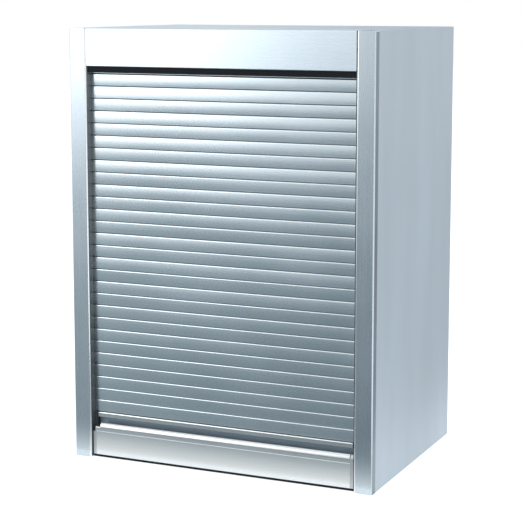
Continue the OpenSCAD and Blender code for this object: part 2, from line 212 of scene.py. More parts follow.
class CabinetFinish(bpy.types.PropertyGroup):
    """Colours of the finishes, and how rough the metal is."""

    aluminium: FloatVectorProperty(
        name="Aluminium", description="Guide rails and their caps",
        default=(0.545, 0.615, 0.67), subtype="COLOR", size=3)
    slat: FloatVectorProperty(
        name="Slats", description="Satin face of the slats",
        default=(0.615, 0.695, 0.745), subtype="COLOR", size=3)
    # Painted highlight: a lighter colour on the rails' rounded inner edges, standing in for the light that
    # they catch.
    edge: FloatVectorProperty(
        name="Bright edges", description="Rounded inner edges of the rails",
        default=(0.78, 0.82, 0.85), subtype="COLOR", size=3)
    # Painted shade: a darker colour on the rails' outer sides, standing in for their darker reflection.
    flank_shade: FloatVectorProperty(
        name="Flanks", description="Painted shade on the outer sides of the rails",
        default=(0.27, 0.31, 0.35), subtype="COLOR", size=3)
    # Painted shade: a near-black colour along each slat's lower edge, standing in for the shadow in the gap
    # under it.
    joint: FloatVectorProperty(
        name="Slat joints", description="Painted shade along the slats' lower edges",
        default=(0.06, 0.075, 0.085), subtype="COLOR", size=3)
    fascia: FloatVectorProperty(
        name="Fascia", description="Sheet over the shutter",
        default=(0.67, 0.76, 0.83), subtype="COLOR", size=3)
    bar: FloatVectorProperty(
        name="Handle bar", description="Profiles of the bar",
        default=(0.69, 0.725, 0.735), subtype="COLOR", size=3)
    # Painted shade: a darker colour inside the finger groove, standing in for the shade that falls in the
    # recess.
    groove: FloatVectorProperty(
        name="Finger groove", description="Painted shade inside the bar's groove",
        default=(0.287, 0.35, 0.408), subtype="COLOR", size=3)
    board: FloatVectorProperty(
        name="Board", description="Silver laminate of the boards",
        default=(0.583, 0.662, 0.727), subtype="COLOR", size=3)
    dark: FloatVectorProperty(
        name="Dark plastic", description="Plastic of the liners, stops, plugs and shoes",
        default=(0.06, 0.075, 0.085), subtype="COLOR", size=3)
    grey: FloatVectorProperty(
        name="End caps", description="Grey plastic of the bar's end caps",
        default=(0.46, 0.50, 0.52), subtype="COLOR", size=3)
    rubber: FloatVectorProperty(
        name="Seals", description="Rubber of the seals",
        default=(0.012, 0.013, 0.016), subtype="COLOR", size=3)
    zinc: FloatVectorProperty(
        name="Zinc", description="Plated steel of barrel and screws",
        default=(0.56, 0.57, 0.58), subtype="COLOR", size=3)
    beech: FloatVectorProperty(
        name="Beech", description="Wood of the dowels",
        default=(0.52, 0.34, 0.17), subtype="COLOR", size=3)
    webbing: FloatVectorProperty(
        name="Webbing", description="Tape of the hanger straps",
        default=(0.05, 0.055, 0.06), subtype="COLOR", size=3)
    roughness: FloatProperty(
        name="Roughness", description="Roughness of the aluminium",
        default=0.27, min=0.05, max=1, subtype="FACTOR")


class CabinetStage(bpy.types.PropertyGroup):
    """Camera and light."""

    lens: FloatProperty(
        name="Lens", description="Focal length in millimetres", default=107.7, unit="CAMERA")
    yaw: FloatProperty(
        name="Yaw", description="Turn of the camera to the right",
        default=math.radians(24.34), subtype="ANGLE")
    pitch: FloatProperty(
        name="Pitch", description="Downward tilt of the camera",
        default=math.radians(7.65), subtype="ANGLE")
    distance: FloatProperty(
        name="Distance", description="Distance of the camera from its target",
        default=2.5872, unit="LENGTH")
    aside: FloatProperty(
        name="Aside", description="Target's distance to the right of the middle",
        default=-0.0083, unit="LENGTH")
    target: FloatProperty(
        name="Target", description="Height of the target", default=0.4011, unit="LENGTH")
    shift: FloatProperty(
        name="Shift", description="Vertical shift of the frame", default=-0.1)
    key: FloatProperty(
        name="Key light", description="Power of the left softbox", default=17.0, unit="POWER")
    overhead: FloatProperty(
        name="Overhead", description="Power of the upper softbox", default=5.0, unit="POWER")
    room: FloatProperty(
        name="Room light", description="Strength of the even light", default=0.78)


def settings(group):
    """The scene's values of a property group."""
    return getattr(bpy.context.scene, "cabinet_" + group)


# Node trees
def set_inputs(tree, node, inputs):
    """Gives a node's inputs their values or links."""
    for key, value in inputs.items():
        if isinstance(value, bpy.types.NodeSocket):
            tree.links.new(value, node.inputs[key])
        else:
            node.inputs[key].default_value = value


def add_node(tree, kind, inputs=None, **options):
    """A node with its options set and its inputs given as values or linked sockets."""
    node = tree.nodes.new(kind)
    for name, value in options.items():
        setattr(node, name, value)
    set_inputs(tree, node, inputs or {})
    return node


def maths(tree, operation, first, second=0.0):
    """Output of a Math node."""
    return add_node(tree, "ShaderNodeMath", {0: first, 1: second}, operation=operation).outputs[0]


def vector_sum(tree, first, second):
    """Sum of two vectors or colours."""
    return add_node(tree, "ShaderNodeVectorMath", {0: first, 1: second}, operation="ADD").outputs[0]


def tinted(tree, colour, factor):
    """A colour made lighter or darker by a factor."""
    inputs = {0: colour[:], "Scale": factor}
    return add_node(tree, "ShaderNodeVectorMath", inputs, operation="SCALE").outputs[0]


def empty_tree(owner):
    """The node tree of a material or world, with nothing in it."""
    owner.use_nodes = True
    owner.node_tree.nodes.clear()
    return owner.node_tree


# Finishes
def new_material(name):
    """A material with its tree, its surface shader and its object coordinates."""
    material = bpy.data.materials.new(name)
    tree = empty_tree(material)
    shader = add_node(tree, "ShaderNodeBsdfPrincipled")
    add_node(tree, "ShaderNodeOutputMaterial", {"Surface": shader.outputs["BSDF"]})
    place = add_node(tree, "ShaderNodeTexCoord").outputs["Object"]
    return material, tree, shader, place


def stretched_noise(tree, place, scale, detail=4.0, rough=0.6):
    """Noise whose grain is drawn out by a scale for each axis."""
    mapped = add_node(tree, "ShaderNodeMapping", {"Vector": place, "Scale": scale}).outputs[0]
    inputs = {"Vector": mapped, "Scale": 1.0, "Detail": detail, "Roughness": rough}
    return add_node(tree, "ShaderNodeTexNoise", inputs).outputs["Fac"]


def spread(tree, value, low, high):
    """Noise remapped from its middle range to low and high."""
    middle = {"From Min": 0.3, "From Max": 0.7}
    inputs = {"Value": value, "To Min": low, "To Max": high, **middle}
    return add_node(tree, "ShaderNodeMapRange", inputs).outputs[0]


def relief(tree, height, strength, depth):
    """Normals of a surface that a height pattern raises by a depth."""
    inputs = {"Height": height, "Strength": strength, "Distance": depth}
    return add_node(tree, "ShaderNodeBump", inputs).outputs[0]


def within(tree, place, low, high):
    """1 where the depth and the height lie between two corners (y, z), else 0."""
    split = add_node(tree, "ShaderNodeSeparateXYZ", {0: place})
    inside = 1.0
    for axis, floor, roof in ((1, low[0], high[0]), (2, low[1], high[1])):
        above = maths(tree, "GREATER_THAN", split.outputs[axis], floor)
        below = maths(tree, "LESS_THAN", split.outputs[axis], roof)
        inside = maths(tree, "MULTIPLY", inside, maths(tree, "MULTIPLY", above, below))
    return inside


def brushed_metal(name, colour, roughness, along, grain=900.0, hollow=None):
    """Metal brushed along one axis, with faint clouds. hollow gives the corners of a groove and the colour of
    the shade painted inside it.
    """
    stretch = 0.004
    cloud_scale = (7.0, 7.0, 7.0)
    shades = (0.985, 1.012)
    swing = 0.02
    dullness = 0.25
    material, tree, shader, place = new_material(name)
    scale = [grain] * 3
    scale["XYZ".index(along)] = grain * stretch
    lines = stretched_noise(tree, place, scale)
    clouds = stretched_noise(tree, place, cloud_scale, detail=2.0)
    shade = maths(tree, "MULTIPLY", spread(tree, lines, *shades), spread(tree, clouds, *shades))
    sheen = spread(tree, lines, roughness - swing, roughness + swing)
    sheen = maths(tree, "ADD", sheen, spread(tree, clouds, -swing, swing))
    # Painted shade: inside the groove's corners the colour turns to the darker groove colour, and the
    # roughness rises.
    if hollow:
        low, high, groove_shade_colour = hollow
        shaded = maths(tree, "MULTIPLY", shade, within(tree, place, low, high))
        bright = tinted(tree, colour, maths(tree, "SUBTRACT", shade, shaded))
        paint = vector_sum(tree, bright, tinted(tree, groove_shade_colour, shaded))
        sheen = maths(tree, "ADD", sheen, maths(tree, "MULTIPLY", shaded, dullness))
    else:
        paint = tinted(tree, colour, shade)
    set_inputs(tree, shader, {
        "Base Color": paint, "Roughness": sheen, "Metallic": 1.0,
        "Normal": relief(tree, lines, strength=0.05, depth=0.01 * MM)})
    return material


def silver_laminate(name, colour):
    """Silver board facing: fine upright streaks under a satin coat."""
    streak_scale = (420.0, 420.0, 2.2)
    cloud_scale = (9.0, 9.0, 2.0)
    pore_scale = (1500.0, 1500.0, 700.0)
    material, tree, shader, place = new_material(name)
    streaks = stretched_noise(tree, place, streak_scale)
    clouds = stretched_noise(tree, place, cloud_scale, detail=2.0)
    pores = stretched_noise(tree, place, pore_scale, detail=2.0)
    streak_shade = spread(tree, streaks, low=0.98, high=1.015)
    cloud_shade = spread(tree, clouds, low=0.95, high=1.05)
    set_inputs(tree, shader, {
        "Base Color": tinted(tree, colour, maths(tree, "MULTIPLY", streak_shade, cloud_shade)),
        "Roughness": spread(tree, streaks, low=0.5, high=0.6),
        "Normal": relief(tree, pores, strength=0.12, depth=0.03 * MM),
        "Metallic": 0.35, "Coat Weight": 0.1, "Coat Roughness": 0.5})
    return material


def moulded(name, colour, roughness, depth=0.04 * MM, specular=0.5, metal=0.0):
    """Plastic, rubber or dull metal with a fine grain."""
    grain_scale = (1400.0, 1400.0, 1400.0)
    cloud_scale = (12.0, 12.0, 12.0)
    swing = 0.15
    material, tree, shader, place = new_material(name)
    skin = stretched_noise(tree, place, grain_scale, detail=3.0)
    clouds = stretched_noise(tree, place, cloud_scale, detail=2.0)
    set_inputs(tree, shader, {
        "Base Color": tinted(tree, colour, spread(tree, clouds, low=0.9, high=1.1)),
        "Roughness": spread(tree, skin, roughness * (1 - swing), roughness * (1 + swing)),
        "Normal": relief(tree, skin, strength=0.2, depth=depth),
        "Specular IOR Level": specular, "Metallic": metal})
    return material


def turned_wood(name, colour):
    """Beech with fine grain along the dowels."""
    grain_scale = (30.0, 900.0, 900.0)
    material, tree, shader, place = new_material(name)
    grain = stretched_noise(tree, place, grain_scale, detail=5.0)
    set_inputs(tree, shader, {
        "Base Color": tinted(tree, colour, spread(tree, grain, low=0.75, high=1.2)),
        "Normal": relief(tree, grain, strength=0.2, depth=0.1 * MM),
        "Roughness": 0.6})
    return material


def woven_tape(name, colour):
    """Webbing with crossed threads."""
    material, tree, shader, place = new_material(name)

    def threads(scale, direction):
        inputs = {"Vector": place, "Scale": scale, "Distortion": 0.4}
        options = {"wave_type": "BANDS", "bands_direction": direction}
        return add_node(tree, "ShaderNodeTexWave", inputs, **options).outputs["Fac"]

    ends = threads(scale=260.0, direction="X")
    picks = threads(scale=320.0, direction="DIAGONAL")
    weave = maths(tree, "MULTIPLY", ends, picks)
    set_inputs(tree, shader, {
        "Base Color": tinted(tree, colour, spread(tree, weave, low=0.7, high=1.5)),
        "Normal": relief(tree, weave, strength=0.5, depth=0.2 * MM),
        "Roughness": 0.85, "Sheen Weight": 0.3})
    return material


def bar_levels():
    """Depths and heights that the sections of the handle bar share."""
    sizes = settings("sizes")
    front = GRIP_LOW.y - FRONT
    back = GRIP_HIGH.y - FRONT
    crest = BROW_HIGH.z - sizes.bar_rise
    return SimpleNamespace(
        front=front, face=front + sizes.bar_step, lip_back=front + sizes.lip_depth,
        inside=back - sizes.bar_wall, back=back,
        low=GRIP_LOW.z, step=crest - sizes.lip_height, floor=crest - sizes.groove_sink, crest=crest,
        brow=BROW_LOW.z, high=BROW_HIGH.z)


def groove_shade_room():
    """Two corners (y, z) of the room behind the finger lip, where the bar's finish paints shade."""
    bar = bar_levels()
    spare = 0.5 * MM
    low = (FRONT + bar.lip_back + spare, bar.floor - spare)
    high = (FRONT + bar.back - spare, bar.brow + spare)
    return low, high


def finish_of(name):
    """A finish by its name, made the first time that it is asked for."""
    made = bpy.data.materials.get(name)
    if made:
        return made
    look = settings("finish")
    metal = look.roughness
    edge_polish, slat_polish, bar_polish = 0.08, 0.03, 0.04
    makers = {
        "brushed_rail": lambda: brushed_metal(name, look.aluminium, metal, "Z"),
        # The rails' edge finish paints a highlight; the rails' outer-side finish and the slats' lower-edge
        # finish paint shade.
        "bright_edge": lambda: brushed_metal(name, look.edge, metal - edge_polish, "Z"),
        "dull_flank": lambda: moulded(name, look.flank_shade, roughness=0.4, metal=0.4),
        "dull_joint": lambda: moulded(name, look.joint, roughness=0.5, metal=0.4),
        "brushed_fascia": lambda: brushed_metal(name, look.fascia, metal, "X"),
        "satin_slat": lambda: brushed_metal(name, look.slat, metal - slat_polish, "X"),
        # The handle bar's finish paints shade inside its finger groove.
        "brushed_bar": lambda: brushed_metal(
            name, look.bar, metal - bar_polish, "X", hollow=(*groove_shade_room(), look.groove)),
        "plated_steel": lambda: brushed_metal(name, look.zinc, roughness=0.32, along="X", grain=500.0),
        "silver_laminate": lambda: silver_laminate(name, look.board),
        "glossy_liner": lambda: moulded(name, look.dark, roughness=0.2, depth=0.01 * MM, specular=0.9),
        "matt_plastic": lambda: moulded(name, look.dark, roughness=0.45),
        "grained_cap": lambda: moulded(name, look.grey, roughness=0.3, metal=0.7),
        "matt_rubber": lambda: moulded(name, look.rubber, roughness=0.7, specular=0.12),
        "raw_beech": lambda: turned_wood(name, look.beech),
        "woven_webbing": lambda: woven_tape(name, look.webbing),
    }
    return makers[name]()


# Meshes
def linked(name, data):
    """A new object in the scene."""
    item = bpy.data.objects.new(name, data)
    bpy.context.scene.collection.objects.link(item)
    return item


def from_bmesh(name, bm):
    """A new object that takes over a bmesh."""
    mesh = bpy.data.meshes.new(name)
    bm.to_mesh(mesh)
    bm.free()
    return linked(name, mesh)


def rectangle(left, low, right, high):
    """Outline of a plain rectangle."""
    return [(left, low), (right, low), (right, high), (left, high)]


def rounded(corners, steps=6):
    """Points of an outline whose corners (x, y, radius) are rounded by arcs."""
    points = []
    for i, (x, y, radius) in enumerate(corners):
        corner = Vector((x, y))
        if radius <= 0:
            points.append(corner)
            continue
        before = (Vector(corners[i - 1][:2]) - corner).normalized()
        after = (Vector(corners[(i + 1) % len(corners)][:2]) - corner).normalized()
        half = before.angle(after) / 2
        reach = radius / math.tan(half)
        middle = corner + (before + after).normalized() * (radius / math.sin(half))
        start = corner + before * reach - middle
        turn = start.angle_signed(corner + after * reach - middle)
        for k in range(steps + 1):
            points.append(middle + Matrix.Rotation(-turn * k / steps, 2) @ start)
    return points


def prism(name, outlines, place, start, stop):
    """A closed bar: its outlines, the outer one first, run from start to stop and place sets their points."""
    bm = bmesh.new()
    ends = []
    for outline in outlines:
        rings = [[bm.verts.new(place(point, run)) for point in outline] for run in (start, stop)]
        count = len(outline)
        for k in range(count):
            after = (k + 1) % count
            bm.faces.new((rings[0][k], rings[0][after], rings[1][after], rings[1][k]))
        ends.append(rings)
    for side in (0, 1):
        edges = []
        for rings in ends:
            ring = rings[side]
            edges += [bm.edges.get((ring[k - 1], ring[k])) for k in range(len(ring))]
        bmesh.ops.triangle_fill(bm, use_beauty=True, edges=edges)
    bmesh.ops.recalc_face_normals(bm, faces=bm.faces)
    return from_bmesh(name, bm)


def upright(point, run):
    """Plan of width and depth, run up."""
    return (point[0], FRONT + point[1], run)


def upright_left(point, run):
    """The same plan on the left side."""
    return (-point[0], FRONT + point[1], run)


def across(point, run):
    """Section of depth and height, run along the width."""
    return (run, FRONT + point[0], point[1])


def plain(piece):
    """Turns what the modifiers make into the piece's own mesh."""
    evaluated = piece.evaluated_get(bpy.context.evaluated_depsgraph_get())
    mesh = bpy.data.meshes.new_from_object(evaluated)
    piece.modifiers.clear()
    piece.data = mesh
    return piece


def bevelled(piece, width, segments=3, angle=50.0):
    """Rounds the piece's edges that bend by more than an angle in degrees."""
    bevel = piece.modifiers.new("Edge", "BEVEL")
    bevel.width = width
    bevel.segments = segments
    bevel.limit_method = "ANGLE"
    bevel.angle_limit = math.radians(angle)
    bevel.harden_normals = False
    return plain(piece)


def cut_by(piece, cutter):
    """Takes the cutter's solid out of the piece and removes the cutter."""
    cut = piece.modifiers.new("Cut", "BOOLEAN")
    cut.operation = "DIFFERENCE"
    cut.solver = "EXACT"
    cut.object = cutter
    plain(piece)
    bpy.data.objects.remove(cutter)
    return piece


def joined(name, pieces):
    """One piece made of several closed ones."""
    bm = bmesh.new()
    for piece in pieces:
        bm.from_mesh(piece.data)
        bpy.data.objects.remove(piece)
    return from_bmesh(name, bm)


def smooth(mesh, angle=35.0):
    """Smooth shading with sharp edges past an angle in degrees."""
    mesh.shade_smooth()
    mesh.set_sharp_from_angle(angle=math.radians(angle))


def settle(piece, finish, body, slot, *nodes):
    """Gives a piece its finish and place in the frame."""
    piece.data.materials.clear()
    piece.data.materials.append(finish_of(finish))
    smooth(piece.data)
    even = piece.modifiers.new("Even", "WEIGHTED_NORMAL")
    even.keep_sharp = True
    plain(piece)
    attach(piece, body)
    if nodes:
        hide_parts(*nodes)
    return piece


def paint_edge_highlight_and_side_shade(rail):
    """Gives a rail a painted highlight on its rounded inner edge and painted shade on its outer side."""
    slant, square = 0.1, 0.9
    rail.data.materials.append(finish_of("bright_edge"))
    rail.data.materials.append(finish_of("dull_flank"))
    for face in rail.data.polygons:
        outward = face.normal.x * math.copysign(1.0, face.center.x)
        # Painted highlight on the inner front edge, painted shade on the outer side.
        if outward < -slant and face.normal.y < -slant:
            face.material_index = 1
        elif outward > square and abs(face.center.x) > HALF_WIDTH - RAIL_WALL / 2:
            face.material_index = 2


def paint_joint_shade(slat, low):
    """Gives a slat a line of painted shade along its lower edge."""
    slat.data.materials.append(finish_of("dull_joint"))
    # Painted shade: the lowest faces of the slat take a near-black colour.
    for face in slat.data.polygons:
        if face.center.z < low + settings("sizes").joint_shade_height:
            face.material_index = 1


def dress(node, finish):
    """Gives a carried-over solid its finish."""
    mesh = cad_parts[node].data
    mesh.materials.clear()
    mesh.materials.append(finish_of(finish))


def solids_of(node):
    """Boxes of the separate solids in a node."""
    bm = bmesh.new()
    bm.from_mesh(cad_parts[node].data)
    bmesh.ops.remove_doubles(bm, verts=bm.verts, dist=TOUCHING)
    left = set(bm.verts)
    boxes = []
    while left:
        todo = [left.pop()]
        found = []
        while todo:
            vert = todo.pop()
            found.append(vert.co.copy())
            for edge in vert.link_edges:
                other = edge.other_vert(vert)
                if other in left:
                    left.remove(other)
                    todo.append(other)
        low = Vector([min(values) for values in zip(*found)])
        high = Vector([max(values) for values in zip(*found)])
        boxes.append((low, high))
    bm.free()
    return sorted(boxes, key=lambda box: tuple(box[0]))


# Geometry node trees
def new_shape_tree(name, inputs):
    """A geometry tree with named inputs; gives the tree, its input sockets by name and its output node."""
    tree = bpy.data.node_groups.new(name, "GeometryNodeTree")
    for label, kind in inputs:
        tree.interface.new_socket(name=label, in_out="INPUT", socket_type="NodeSocket" + kind)
    tree.interface.new_socket(name="Geometry", in_out="OUTPUT", socket_type="NodeSocketGeometry")
    source = tree.nodes.new("NodeGroupInput")
    result = tree.nodes.new("NodeGroupOutput")
    return tree, {label: source.outputs[label] for label, _ in inputs}, result


def end_tree(tree, result, geometry, finish):
    """Closes a tree with realised, finished geometry."""
    real = add_node(tree, "GeometryNodeRealizeInstances", {"Geometry": geometry})
    done = add_node(tree, "GeometryNodeSetMaterial", {"Geometry": real.outputs[0], "Material": finish})
    tree.links.new(done.outputs[0], result.inputs[0])


def grow(name, tree, values, mesh=None):
    """A plain mesh object made by a tree with the given values, from a mesh if one is given."""
    piece = linked(name, mesh or bpy.data.meshes.new(name))
    shape = piece.modifiers.new("Shape", "NODES")
    shape.node_group = tree
    for item in tree.interface.items_tree:
        if item.in_out == "INPUT" and item.name in values:
            shape[item.identifier] = values[item.name]
    return plain(piece)


def slat_tree():
    """A slat: a rounded face, a shoulder at its top and a curl along its lower edge."""
    columns, rows = 3, 47
    lengths = (
        "Length", "Height", "Face radius", "Face middle", "Shoulder start", "Shoulder radius",
        "Shoulder height", "Shoulder slope", "Curl", "Sheet", "Lean")
    inputs = [(label, "Float") for label in lengths] + [("Place", "Vector"), ("Finish", "Material")]
    tree, given, result = new_shape_tree("Slat", inputs)
    grid = add_node(tree, "GeometryNodeMeshGrid", {
        "Size X": given["Length"], "Size Y": given["Height"], "Vertices X": columns, "Vertices Y": rows})
    position = add_node(tree, "GeometryNodeInputPosition").outputs[0]
    split = add_node(tree, "ShaderNodeSeparateXYZ", {0: position})
    up = maths(tree, "ADD", split.outputs[1], maths(tree, "MULTIPLY", given["Height"], 0.5))

    def sagitta(radius, run):
        radius_square = maths(tree, "MULTIPLY", radius, radius)
        run_square = maths(tree, "MULTIPLY", run, run)
        rest = maths(tree, "SQRT", maths(tree, "SUBTRACT", radius_square, run_square))
        return maths(tree, "SUBTRACT", radius, rest)

    over = maths(tree, "MAXIMUM", maths(tree, "SUBTRACT", up, given["Shoulder start"]), 0.0)
    bent = maths(tree, "MINIMUM", over, given["Shoulder height"])
    straight = maths(tree, "MINIMUM", maths(tree, "SUBTRACT", over, bent), given["Shoulder slope"])
    end_sine = maths(tree, "DIVIDE", given["Shoulder height"], given["Shoulder radius"])
    end_slope = maths(tree, "TANGENT", maths(tree, "ARCSINE", end_sine))
    shoulder = maths(tree, "ADD", sagitta(given["Shoulder radius"], bent),
                     maths(tree, "MULTIPLY", straight, end_slope))
    under = maths(tree, "MAXIMUM", maths(tree, "SUBTRACT", given["Curl"], up), 0.0)
    lean = maths(tree, "MULTIPLY", maths(tree, "TANGENT", given["Lean"]), split.outputs[1])
    off_middle = maths(tree, "SUBTRACT", up, given["Face middle"])
    depth = maths(tree, "ADD", sagitta(given["Face radius"], off_middle), shoulder)
    depth = maths(tree, "ADD", depth, sagitta(given["Curl"], under))
    depth = maths(tree, "ADD", depth, lean)
    bent_point = add_node(tree, "ShaderNodeCombineXYZ", {0: split.outputs[0], 1: depth, 2: up}).outputs[0]
    front = add_node(tree, "GeometryNodeSetPosition", {
        "Geometry": grid.outputs[0], "Position": vector_sum(tree, bent_point, given["Place"])}).outputs[0]
    turned = add_node(tree, "GeometryNodeFlipFaces", {"Mesh": front}).outputs[0]
    back = add_node(tree, "GeometryNodeExtrudeMesh", {
        "Mesh": turned, "Offset Scale": given["Sheet"], "Individual": False}).outputs[0]
    both = add_node(tree, "GeometryNodeJoinGeometry")
    tree.links.new(back, both.inputs[0])
    tree.links.new(front, both.inputs[0])
    closed = add_node(tree, "GeometryNodeMergeByDistance", {
        "Geometry": both.outputs[0], "Distance": TOUCHING}).outputs[0]
    end_tree(tree, result, closed, given["Finish"])
    return tree


def screw_tree():
    """Screws at a mesh's points, turned to each point's aim: a cross-recessed head and a tapered shank."""
    head_sides, shank_sides = 24, 16
    slot_length, slot_width = 0.55, 0.13
    half, point = 0.5, 0.15
    lengths = ("Head diameter", "Neck diameter", "Head height", "Head base", "Shank diameter", "Shank length")
    inputs = [("Places", "Geometry")] + [(label, "Float") for label in lengths] + [("Finish", "Material")]
    tree, given, result = new_shape_tree("Screws", inputs)

    def share(label, factor):
        return maths(tree, "MULTIPLY", given[label], factor)

    def moved(geometry, height, turn=0.0):
        up = add_node(tree, "ShaderNodeCombineXYZ", {2: height}).outputs[0]
        return add_node(tree, "GeometryNodeTransform", {
            "Geometry": geometry, "Translation": up, "Rotation": (0.0, 0.0, turn)}).outputs[0]

    head = add_node(tree, "GeometryNodeMeshCone", {
        "Vertices": head_sides, "Radius Top": share("Head diameter", half),
        "Radius Bottom": share("Neck diameter", half), "Depth": given["Head height"]}).outputs[0]
    slot = add_node(tree, "ShaderNodeCombineXYZ", {
        0: share("Head diameter", slot_length), 1: share("Head diameter", slot_width),
        2: given["Head height"]}).outputs[0]
    bar = add_node(tree, "GeometryNodeMeshCube", {"Size": slot}).outputs[0]
    recessed = add_node(
        tree, "GeometryNodeMeshBoolean", {"Mesh 1": head}, operation="DIFFERENCE", solver="EXACT")
    for turn in (0.0, math.pi / 2):
        tree.links.new(moved(bar, given["Head height"], turn), recessed.inputs["Mesh 2"])
    shank = add_node(tree, "GeometryNodeMeshCone", {
        "Vertices": shank_sides, "Radius Top": share("Shank diameter", half),
        "Radius Bottom": share("Shank diameter", point), "Depth": given["Shank length"]}).outputs[0]
    screw = add_node(tree, "GeometryNodeJoinGeometry")
    tree.links.new(moved(recessed.outputs[0], given["Head base"]), screw.inputs[0])
    tree.links.new(moved(shank, share("Shank length", -1.0)), screw.inputs[0])
    aim = add_node(
        tree, "GeometryNodeInputNamedAttribute", {"Name": "aim"}, data_type="FLOAT_VECTOR").outputs[0]
    turn = add_node(tree, "FunctionNodeAlignRotationToVector", {"Vector": aim}, axis="Z").outputs[0]
    placed = add_node(tree, "GeometryNodeInstanceOnPoints", {
        "Points": given["Places"], "Instance": screw.outputs[0], "Rotation": turn}).outputs[0]
    end_tree(tree, result, placed, given["Finish"])
    return tree


def spring_tree():
    """A wire wound along the width."""
    turn_parts, wire_sides = 20, 8
    lengths = ("Length", "Radius", "Wire", "Turns")
    inputs = [(label, "Float") for label in lengths] + [("Place", "Vector"), ("Finish", "Material")]
    tree, given, result = new_shape_tree("Spring", inputs)
    helix = add_node(tree, "GeometryNodeCurveSpiral", {
        "Resolution": turn_parts, "Rotations": given["Turns"], "Start Radius": given["Radius"],
        "End Radius": given["Radius"], "Height": given["Length"]}).outputs[0]
    ring = add_node(tree, "GeometryNodeCurvePrimitiveCircle", {
        "Resolution": wire_sides, "Radius": maths(tree, "MULTIPLY", given["Wire"], 0.5)}).outputs[0]
    wire = add_node(tree, "GeometryNodeCurveToMesh", {
        "Curve": helix, "Profile Curve": ring, "Fill Caps": True}).outputs[0]
    laid = add_node(tree, "GeometryNodeTransform", {
        "Geometry": wire, "Translation": given["Place"], "Rotation": (0.0, math.pi / 2, 0.0)}).outputs[0]
    end_tree(tree, result, laid, given["Finish"])
    return tree


# Stage: places in metres, colours and glows as shares of white
WHITE = (1.0, 1.0, 1.0, 1.0)
ROOM_COLOUR = (0.93, 0.97, 1.0, 1.0)
LAMP_COLOUR = (0.97, 0.985, 1.0)
KEY_SIDE = 1.7
KEY_PLACE = (-1.85, -2.3, 1.25)
KEY_AIM = (-0.1, -0.2, 0.55)
UPPER_SIDE = 2.0
UPPER_PLACE = (0.1, -0.5, 2.4)
UPPER_AIM = (0.0, -0.2, 0.3)
FLOOR_REACH = 14.0
FLOOR_COLOUR = (0.86, 0.87, 0.88, 1.0)
FLOOR_GLOW = 0.62

# Cards: corners, the direction of the glow and its stops (distance, level)
CARD_LIFT = 4 * MM
CARD_TINT = (0.66, 0.89, 1.0)
CARD_TINT_RISE = (0.34, 0.11, 0.0)
FRONT_CARD_LOW = (-8.0, FRONT - 11.0)
FRONT_CARD_HIGH = (0.35, FRONT - 0.02)
FRONT_CARD_RUN = (-1.0, 0.2)
FRONT_CARD_STOPS = ((-0.3, 0.27), (0.14, 0.36), (0.47, 0.42), (1.05, 0.44), (1.55, 0.55), (2.45, 1.0))
FRONT_CARD_WHITE = (FRONT - 0.15, FRONT - 0.03)
REAR_CARD_LOW = (HALF_WIDTH + 0.12, 0.1)
REAR_CARD_HIGH = (6.0, 8.0)
REAR_CARD_STOPS = ((0.3, 0.42), (3.0, 0.25))
BACK_CARD_WIDTH = (-0.7, 0.34)
BACK_CARD_DEPTH = 0.5
BACK_CARD_RISE = (0.72, 1.6)
BACK_CARD_STOPS = ((-0.25, 0.9), (0.1, 0.25))
TO_THE_RIGHT = (1.0, 0.0)


def quad(name, corners):
    """A flat four-cornered object."""
    mesh = bpy.data.meshes.new(name)
    mesh.from_pydata(corners, [], [(0, 1, 2, 3)])
    return linked(name, mesh)


def lying(low, high, height):
    """Corners of a level quad between two corners of its plan."""
    return [(x, y, height) for x, y in rectangle(*low, *high)]


def standing(width, depth, rise):
    """Corners of an upright quad that faces the front."""
    (left, right), (low, high) = width, rise
    return [(x, depth, z) for x, z in rectangle(left, low, right, high)]


